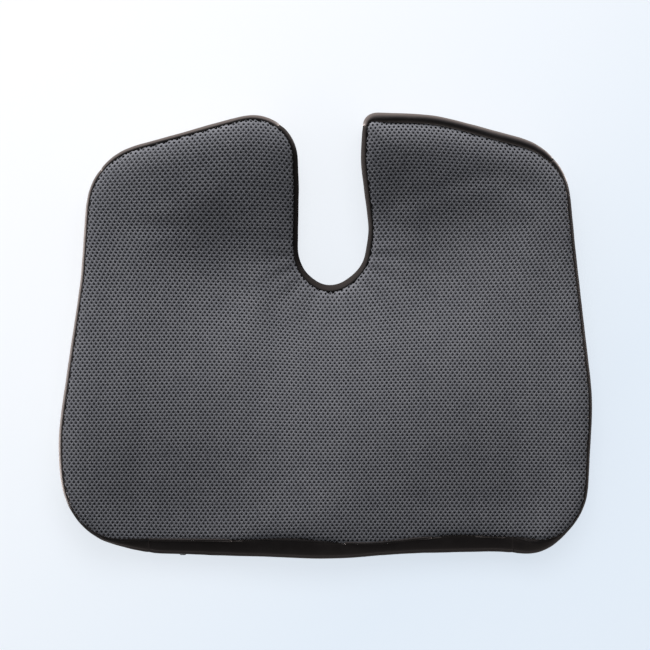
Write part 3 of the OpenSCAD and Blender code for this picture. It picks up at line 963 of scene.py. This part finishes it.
def band_swell(form, trees):
    """Outward movement of the band's face in the simulation, one value per station."""
    if not trees:
        return np.zeros(STATIONS)
    out = np.zeros(STATIONS)
    for i in range(STATIONS):
        n = form.normal[i]
        start = Vector((*(form.foot[i, :2] + n * REACH), form.height(i, 0.6)))
        way = Vector((-n[0], -n[1], 0))
        found = [tree.ray_cast(start, way, 2 * REACH)[3] for tree in trees]
        if None not in found:
            out[i] = found[0] - found[1]
    return smooth_ring(np.clip(out, -0.5 * MM, 2.2 * MM), 6)


def band_runs(form):
    """The stretch of stations that each full-height band covers."""
    owners = list(form.owner)
    for i in range(STATIONS):
        if owners[i] is None:
            owners[i] = owners[i - 1]
    starts = [i for i in range(STATIONS) if owners[i] != owners[i - 1]]
    runs = {}
    for k, first in enumerate(starts):
        last = starts[(k + 1) % len(starts)]
        length = (last - first) % STATIONS
        if length > STATIONS // 60:
            runs[owners[first]] = (first, length)
    return runs


def end_crease(step, length):
    """Depth of the crease where one band is sewn to the next."""
    near = min(step, length - step)
    return 0.4 * MM * math.exp(-(near / 1.3) ** 2)


def band_rows(form, i, step, length, swell, low_u, high_u, count):
    rows = []
    for k in range(count + 1):
        u = low_u + (high_u - low_u) * k / count
        at = u * ROWS
        below = min(int(at), ROWS - 1)
        face = form.face[i, below] + (form.face[i, below + 1] - form.face[i, below]) * (
            at - below)
        out = face + soft_offset(form, i, u, swell[i]) - end_crease(step, length)
        rise = form.crest[i] * math.sin(math.pi * max(0, u - CREST_U) / (1 - CREST_U))
        rows.append(form.place(i, out, form.height(i, u) + rise))
    return rows


def fold_in(point, normal, depth, drop):
    """A point turned in from an edge, for the part of the cloth inside a seam."""
    return (point[0] - normal[0] * depth, point[1] - normal[1] * depth, point[2] + drop)


def skin_rows(name, columns, material):
    """A sheet from equal columns of points, thickened inwards."""
    count = len(columns[0])
    points = [p for column in columns for p in column]
    faces = [(s * count + k, (s + 1) * count + k, (s + 1) * count + k + 1, s * count + k + 1)
             for s in range(len(columns) - 1) for k in range(count - 1)]
    obj = object_from(name, points, faces, material)
    add_modifier(obj, "SOLIDIFY", thickness=PLUSH_T, offset=-1.0)
    apply_modifiers(obj)
    return obj


def make_band(form, name, run, swell, material):
    first, length = run
    columns = []
    for step in range(length + 1):
        i = (first + step) % STATIONS
        n = form.normal[i]
        rows = band_rows(form, i, step, length, swell, 0.0, 1.0, ROWS)
        rows[0] = fold_in(rows[0], n, 1.2 * MM, 0)
        rows[-1] = fold_in(rows[-1], n, 0.3 * MM, -CREASE)
        columns.append(rows)
    return skin_rows(name, columns, material)


def turned_in(edge, tape_y, drop, shares):
    """Points of a strip's edge between the zip tape and the strip's face."""
    return [(edge[0], tape_y + (edge[1] - tape_y) * t, edge[2] + drop) for t in shares]


def make_front_bands(form, run, swell, material):
    """The two strips of the front band, whose edges turn in to the zip tape."""
    first, length = run
    slot_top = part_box("front_band_upper")[0].z
    slot_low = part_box("front_band_lower")[1].z
    tape_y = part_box("zip_tape_upper")[0].y - 0.3 * MM
    upper, lower = [], []
    for step in range(length + 1):
        i = (first + step) % STATIONS
        n = form.normal[i]
        tall = form.seam_z[i] - form.foot_z
        u_top = (slot_top - form.foot_z) / tall
        u_low = (slot_low - form.foot_z) / tall
        rows = band_rows(form, i, step, length, swell, u_top, 1.0, ROWS)
        edge = rows[0]
        rows[-1] = fold_in(rows[-1], n, 0.3 * MM, -CREASE)
        rows[0] = (edge[0], edge[1] + 0.5 * MM, edge[2] + 0.15 * MM)
        upper.append(turned_in(edge, tape_y, -0.1 * MM, (0.0, 0.35, 0.7)) + rows)
        rows = band_rows(form, i, step, length, swell, 0.0, u_low, ROWS // 3)
        edge = rows[-1]
        rows[0] = fold_in(rows[0], n, 1.2 * MM, 0)
        rows[-1] = (edge[0], edge[1] + 0.5 * MM, edge[2] - 0.15 * MM)
        lower.append(rows + turned_in(edge, tape_y, -0.3 * MM, (0.7, 0.35, 0.0)))
    return (skin_rows("front_band_upper_plush", upper, material),
            skin_rows("front_band_lower_plush", lower, material))


def make_bands(form, trees):
    material = plush_material("plush_pile", 0.8, 1.0)
    # The notch band gets a darker copy of the plush with little sheen: painted shade in the
    # notch.
    notch_material = plush_material("plush_pile_painted_shade", 0.06, 0.3)
    swell = band_swell(form, trees)
    for node, run in band_runs(form).items():
        if node == "front_band_upper":
            upper, lower = make_front_bands(form, run, swell, material)
            declare(upper, CUSHION, "plush", "front_band_upper")
            declare(lower, CUSHION, "plush", "front_band_lower")
        else:
            cloth = notch_material if node == "notch_band" else material
            band = make_band(form, node + "_plush", run, swell, cloth)
            declare(band, CUSHION, "plush", node)


# ---- Bottom panel ----------------------------------------------------------------------

def make_bottom(form):
    """The non-slip panel: its rim rests on the surface, its middle stands a little higher."""
    points, depth, _, quads = ring_sheet(foot_ring(form), 4 * MM)
    edge = form.foot_z * np.clip(1 - depth / (6 * MM), 0, 1) ** 2.2
    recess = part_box("grip_dots")[1].z
    z = edge + recess * np.clip((depth - 12 * MM) / (6 * MM), 0, 1)
    faces = [(a, d, c, b) for a, b, c, d in quads]
    obj = object_from("bottom_panel_cloth", np.column_stack([points, z]), faces,
                      base_fabric_material())
    drop_degenerate(obj)
    add_modifier(obj, "SOLIDIFY", thickness=0.9 * MM, offset=-1.0)
    apply_modifiers(obj)
    declare(obj, CUSHION, "base_fabric", "bottom_panel")


def dot_centres():
    """Centres of the CAD model's grip dots."""
    bm = bmesh.new()
    bm.from_mesh(frame["nodes"]["grip_dots"].data)
    bmesh.ops.remove_doubles(bm, verts=bm.verts, dist=1e-6)
    left = set(bm.verts)
    centres = []
    while left:
        stack = [left.pop()]
        island = []
        while stack:
            v = stack.pop()
            island.append(v.co.copy())
            for edge in v.link_edges:
                other = edge.other_vert(v)
                if other in left:
                    left.remove(other)
                    stack.append(other)
        centres.append(sum(island, Vector()) / len(island))
    bm.free()
    return sorted(centres, key=lambda c: (round(c.y, 4), c.x))


def circle(x, y, radius, sides=28):
    return [(x + radius * math.cos(2 * math.pi * k / sides),
             y + radius * math.sin(2 * math.pi * k / sides)) for k in range(sides)]


def add_dome(points, faces, centre, radius, base, tip):
    """A low dome with a flat tip, from base up or down to tip."""
    sides = 20
    profile = [(1.0, 0.0), (0.93, 0.45), (0.78, 0.85), (0.5, 1.0)]
    first = len(points)
    for share, rise in profile:
        z = base + (tip - base) * rise
        points += [(x, y, z) for x, y in circle(centre[0], centre[1], radius * share, sides)]
    points.append((centre[0], centre[1], tip))
    for row in range(len(profile) - 1):
        for k in range(sides):
            a = first + row * sides + k
            b = first + row * sides + (k + 1) % sides
            faces.append((a, a + sides, b + sides, b))
    top = first + (len(profile) - 1) * sides
    for k in range(sides):
        faces.append((top + k, len(points) - 1, top + (k + 1) % sides))
    faces.append(tuple(first + k for k in range(sides)))


def make_grip_dots():
    low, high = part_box("grip_dots")
    points, faces = [], []
    for centre in dot_centres():
        add_dome(points, faces, centre, DOT_R, high.z + 0.1 * MM, low.z)
    obj = object_from("grip_dots_rubber", points, faces, grip_material())
    declare(obj, CUSHION, "grip_rubber", "grip_dots")


# ---- Foam ------------------------------------------------------------------------------

def make_foam():
    """The moulded core: the CAD foam with soft edges."""
    foam, points = soft_copy("foam_core_moulded", ["foam_core"], 0.005, 6)
    near_front = np.clip((-0.11 - points[:, 1]) / 0.05, 0, 1)
    points[:, 1] += near_front * (front_sag(points[:, 0], -1) + FOAM_SETBACK)
    move_vertices(foam, points)
    foam.data.polygons.foreach_set("use_smooth", [True] * len(foam.data.polygons))
    foam.data.materials.clear()
    foam.data.materials.append(foam_material())
    declare(foam, CUSHION, "memory_foam", "foam_core")


# ---- Zip -------------------------------------------------------------------------------

def coil_points(low, high, upper, offset):
    """The turns of one nylon coil as a tube, flattened against the tape."""
    pitch = 1.3 * MM
    wire = 0.36 * MM
    turns = int((high.x - low.x - 2 * wire) / pitch)
    steps, sides = 14, 6
    back = high.y
    depth = (high.y - low.y) / 2 - wire
    reach = 0.35 * MM
    inner, outer = (low.z - reach, high.z) if upper else (high.z + reach, low.z)
    centre_z = (inner + outer) / 2
    half_z = abs(outer - inner) / 2 - wire
    path = []
    for s in range(turns * steps):
        a = 2 * math.pi * s / steps
        x = low.x + wire + offset + pitch * s / steps
        y = back - wire - depth + depth * math.cos(a)
        z = centre_z + half_z * math.sin(a) * (1 if upper else -1)
        path.append(Vector((x, y, z)))
    return tube(path, wire, sides)


def tube(path, radius, sides):
    """Points and faces of a tube along a path, with closed ends."""
    points, faces = [], []
    for s, p in enumerate(path):
        ahead = path[min(s + 1, len(path) - 1)] - path[max(s - 1, 0)]
        ahead.normalize()
        side = ahead.cross(Vector((1, 0, 0)))
        if side.length < 1e-6:
            side = ahead.cross(Vector((0, 0, 1)))
        side.normalize()
        up = side.cross(ahead)
        for k in range(sides):
            a = 2 * math.pi * k / sides
            points.append(p + (side * math.cos(a) + up * math.sin(a)) * radius)
    for s in range(len(path) - 1):
        for k in range(sides):
            a, b = s * sides + k, s * sides + (k + 1) % sides
            faces.append((a, a + sides, b + sides, b))
    faces.append(tuple(range(sides)))
    faces.append(tuple(reversed(range((len(path) - 1) * sides, len(path) * sides))))
    return points, faces


def make_coils():
    material = nylon_material()
    for node, upper, offset in (("zip_coil_upper", True, 0.0),
                                ("zip_coil_lower", False, 0.65 * MM)):
        low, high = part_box(node)
        points, faces = coil_points(low, high, upper, offset)
        coil = object_from(node + "_turns", points, faces, material)
        declare(coil, CUSHION, "zip_coil", node)


def extruded(outline, y0, y1, bevel, name, holes=()):
    """A plate in the XZ plane from an outline, between y0 and y1, with rounded edges."""
    curve = bpy.data.curves.new(name, "CURVE")
    curve.dimensions = "2D"
    curve.fill_mode = "BOTH"
    for ring in [outline, *holes]:
        spline = curve.splines.new("POLY")
        spline.points.add(len(ring) - 1)
        for point, (x, z) in zip(spline.points, ring):
            point.co = (x, z, 0, 1)
        spline.use_cyclic_u = True
    curve.extrude = abs(y1 - y0) / 2 - bevel
    curve.bevel_depth = bevel
    curve.bevel_resolution = 2
    curve.offset = -bevel
    obj = bpy.data.objects.new(name, curve)
    bpy.context.scene.collection.objects.link(obj)
    graph = bpy.context.evaluated_depsgraph_get()
    mesh = bpy.data.meshes.new_from_object(obj.evaluated_get(graph), depsgraph=graph)
    bpy.data.objects.remove(obj)
    mesh.transform(Matrix.Translation((0, (y0 + y1) / 2, 0))
                   @ Matrix.Rotation(math.radians(90), 4, "X"))
    return mesh


def rounded(corners, radius, steps=6):
    """A closed outline with each corner rounded; corners are (x, z) or (x, z, r)."""
    out = []
    count = len(corners)
    for k, corner in enumerate(corners):
        r = corner[2] if len(corner) > 2 else radius
        p = Vector(corner[:2])
        a = Vector(corners[k - 1][:2]) - p
        b = Vector(corners[(k + 1) % count][:2]) - p
        cut = min(r, a.length * 0.49, b.length * 0.49)
        a.normalize()
        b.normalize()
        for s in range(steps + 1):
            t = s / steps
            q = (p + a * cut) * (1 - t) ** 2 + p * 2 * t * (1 - t) + (p + b * cut) * t ** 2
            out.append((q.x, q.y))
    return out


def joined(name, meshes, material):
    bm = bmesh.new()
    for mesh in meshes:
        bm.from_mesh(mesh)
        bpy.data.meshes.remove(mesh)
    bmesh.ops.remove_doubles(bm, verts=bm.verts, dist=1e-7)
    bmesh.ops.recalc_face_normals(bm, faces=bm.faces)
    obj = new_object(name, bm)
    obj.data.materials.append(material)
    smooth_by_angle(obj, 40)
    return obj


def smooth_by_angle(obj, degrees):
    obj.data.polygons.foreach_set("use_smooth", [True] * len(obj.data.polygons))
    bm = bmesh.new()
    bm.from_mesh(obj.data)
    for edge in bm.edges:
        if len(edge.link_faces) == 2 and edge.calc_face_angle() > math.radians(degrees):
            edge.smooth = False
    bm.to_mesh(obj.data)
    bm.free()


def strip_mesh(path, half_width, thick):
    """A bent metal strip: a path in the XY plane, as wide as twice half_width along Z."""
    points, faces = [], []
    for s, (x, y) in enumerate(path):
        ahead = Vector(path[min(s + 1, len(path) - 1)]) - Vector(path[max(s - 1, 0)])
        ahead.normalize()
        out = Vector((ahead.y, -ahead.x)) * thick / 2
        for side, z in ((1, -half_width), (1, half_width), (-1, half_width), (-1, -half_width)):
            points.append((x + out.x * side, y + out.y * side, z))
    for s in range(len(path) - 1):
        for k in range(4):
            a, b = s * 4 + k, s * 4 + (k + 1) % 4
            faces.append((a, b, b + 4, a + 4))
    faces.append((3, 2, 1, 0))
    last = (len(path) - 1) * 4
    faces.append((last, last + 1, last + 2, last + 3))
    mesh = bpy.data.meshes.new("strip")
    mesh.from_pydata(points, [], faces)
    return mesh


def make_slider(material):
    """A die-cast slider: shouldered plates, side flanges, a neck and an arched crown."""
    low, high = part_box("zip_slider")
    x, z = (low.x + high.x) / 2, (low.z + high.z) / 2
    half_l, half_h = (high.x - low.x) / 2, (high.z - low.z) / 2
    crown = 2.0 * MM
    plate = 0.9 * MM
    outer = low.y + crown
    inner = high.y - plate
    waist = half_h * 0.78
    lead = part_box("zip_top_stops")[0].x < x
    front = -1 if lead else 1
    outline = [(front * -half_l, -waist), (front * -half_l * 0.2, -waist * 1.04),
               (front * half_l * 0.45, -half_h), (front * half_l, -half_h * 0.72),
               (front * half_l * 0.8, 0, 0.0004), (front * half_l, half_h * 0.72),
               (front * half_l * 0.45, half_h), (front * -half_l * 0.2, waist * 1.04),
               (front * -half_l, waist)]
    outline = rounded(outline, 1.1 * MM)
    meshes = [extruded(outline, outer, outer + plate, 0.22 * MM, "outer_plate"),
              extruded([(px * 0.98, pz * 0.86) for px, pz in outline], inner, high.y,
                       0.22 * MM, "inner_plate")]
    flange = 0.8 * MM
    tape_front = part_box("zip_tape_upper")[0].y - 0.3 * MM
    for side in (-1, 1):
        path = [(front * -half_l * 0.95, side * (waist - flange / 2)),
                (front * -half_l * 0.2, side * (waist * 1.04 - flange / 2)),
                (front * half_l * 0.45, side * (half_h - flange / 2))]
        ring = ([(px, pz + flange / 2) for px, pz in path]
                + [(px, pz - flange / 2) for px, pz in reversed(path)])
        meshes.append(extruded(ring, outer + plate * 0.5, tape_front, 0.1 * MM, "flange"))
    neck = rounded([(front * half_l * 0.1, 0), (front * half_l * 0.55, -0.4 * MM),
                    (front * half_l * 0.86, 0), (front * half_l * 0.55, 0.4 * MM)], 0.3 * MM)
    meshes.append(extruded(neck, outer + plate * 0.5, inner + plate * 0.5, 0.05 * MM, "neck"))
    arch = []
    for k in range(17):
        a = math.pi * k / 16
        arch.append((-3.0 * MM * math.cos(a) * (1 - 0.12 * math.sin(a)),
                     outer + 0.2 * MM - (crown - 0.15 * MM) * min(1, 1.35 * math.sin(a))))
    meshes.append(strip_mesh(arch, 1.0 * MM, 0.6 * MM))
    obj = joined("zip_slider_cast", meshes, material)
    obj.data.transform(Matrix.Translation((x, 0, z)))
    add_modifier(obj, "BEVEL", width=0.08 * MM, segments=2, limit_method="ANGLE")
    apply_modifiers(obj)
    declare(obj, "slider", "zip_metal", "zip_slider")


def make_pull_tab(material):
    """A flat pull with a long eye, a waist, a thumb recess and a hole."""
    low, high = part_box("pull_tab")
    hinge = [j for j in frame["joints"] if j["name"] == "pull_tab_swing"][0]
    x, y, z = hinge["pos_m"]
    length = high.x - x
    half = (high.z - low.z) / 2
    thick = 0.8 * MM
    outline = rounded([(-0.4 * MM, -half), (4.6 * MM, -half), (9 * MM, -half * 0.72),
                       (length * 0.7, -half), (length, -half, 3.2 * MM),
                       (length, half, 3.2 * MM), (length * 0.7, half), (9 * MM, half * 0.72),
                       (4.6 * MM, half), (-0.4 * MM, half)], 0.9 * MM)
    eye = rounded([(0.45 * MM, -1.35 * MM), (4.2 * MM, -1.35 * MM), (4.2 * MM, 1.35 * MM),
                   (0.45 * MM, 1.35 * MM)], 0.5 * MM)
    hole = circle(length - 3.4 * MM, 0, 1.5 * MM)
    window = rounded([(7.4 * MM, -1.1 * MM), (length - 7.2 * MM, -1.5 * MM),
                      (length - 7.2 * MM, 1.5 * MM), (7.4 * MM, 1.1 * MM)], 0.8 * MM)
    meshes = [extruded(outline, y - thick / 2, y + thick / 2, 0.18 * MM, "tab",
                       holes=[eye, hole, window]),
              extruded([(px * 0.99, pz * 1.12) for px, pz in window],
                       y - thick * 0.18, y + thick * 0.18, 0.05 * MM, "thumb_recess")]
    for k in range(5):
        rib_x = 9 * MM + k * 1.6 * MM
        rib = rounded([(rib_x, -1.1 * MM), (rib_x + 0.6 * MM, -1.1 * MM),
                       (rib_x + 0.6 * MM, 1.1 * MM), (rib_x, 1.1 * MM)], 0.25 * MM)
        meshes.append(extruded(rib, y - thick * 0.42, y + thick * 0.42, 0.1 * MM, "rib"))
    obj = joined("pull_tab_cast", meshes, material)
    obj.data.transform(Matrix.Translation((x, 0, z)))
    declare(obj, "tab", "zip_metal", "pull_tab")


def make_zip():
    make_coils()
    metal = plated_material()
    make_slider(metal)
    make_pull_tab(metal)
    tape = tape_material()
    for node in ("zip_tape_upper", "zip_tape_lower"):
        set_material(node, tape)
    for node in ("zip_top_stops", "zip_bottom_stop"):
        set_material(node, metal)
        add_modifier(frame["nodes"][node], "BEVEL", width=0.35 * MM, segments=3)


def set_material(node, material):
    obj = frame["nodes"][node]
    for slot in obj.material_slots:
        slot.material = material
    if not obj.material_slots:
        obj.data.materials.append(material)


# ---- Stitches --------------------------------------------------------------------------

def add_stitch(points, faces, a, b, out, radius):
    """One stitch: a short thread that dips into the cloth at both ends."""
    path = []
    for k in range(6):
        t = k / 5
        rise = math.sin(math.pi * t)
        path.append(a.lerp(b, t) + out * (rise * radius * 1.5 - radius * 0.7))
    first = len(points)
    ring, quads = tube(path, radius, 6)
    points += [tuple(p) for p in ring]
    faces += [tuple(first + v for v in f) for f in quads]


def make_topstitch(form):
    """A row of stitches along each edge of the zip's slot."""
    run = band_runs(form)["front_band_upper"]
    tree, _ = joined_tree([bpy.data.objects["front_band_upper_plush"],
                           bpy.data.objects["front_band_lower_plush"]])
    left = form.foot[run[0], 0] + 3 * MM
    right = form.foot[(run[0] + run[1]) % STATIONS, 0] - 3 * MM
    stitch, spacing = 2.6 * MM, 3.3 * MM
    points, faces = [], []
    for z in (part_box("front_band_upper")[0].z + 2.4 * MM,
              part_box("front_band_lower")[1].z - 2.4 * MM):
        for k in range(int((right - left) / spacing)):
            ends = []
            for x in (left + k * spacing, left + k * spacing + stitch):
                hit = tree.ray_cast(Vector((x, -0.25, z)), Vector((0, 1, 0)), 0.1)[0]
                if hit is not None:
                    ends.append(hit)
            if len(ends) == 2:
                add_stitch(points, faces, ends[0], ends[1], Vector((0, -1, 0)), 0.26 * MM)
    obj = object_from("zip_topstitch", points, faces, thread_material())
    declare(obj, CUSHION, "zip_tape")


# ---- Build -----------------------------------------------------------------------------

def main():
    make_camera()
    make_lights(make_floor())
    form = Form()
    ring = seam_ring(form)
    trees = simulated_form([ring, foot_ring(form)])
    top = Top(ring, trees)
    upper = make_air_mesh(ring, top)
    declare(upper, CUSHION, "air_mesh", "top_panel")
    lower = make_lower_face(ring, top)
    declare(lower, CUSHION, "air_mesh")
    make_bands(form, trees)
    make_bottom(form)
    make_grip_dots()
    make_foam()
    make_zip()
    make_topstitch(form)


main()
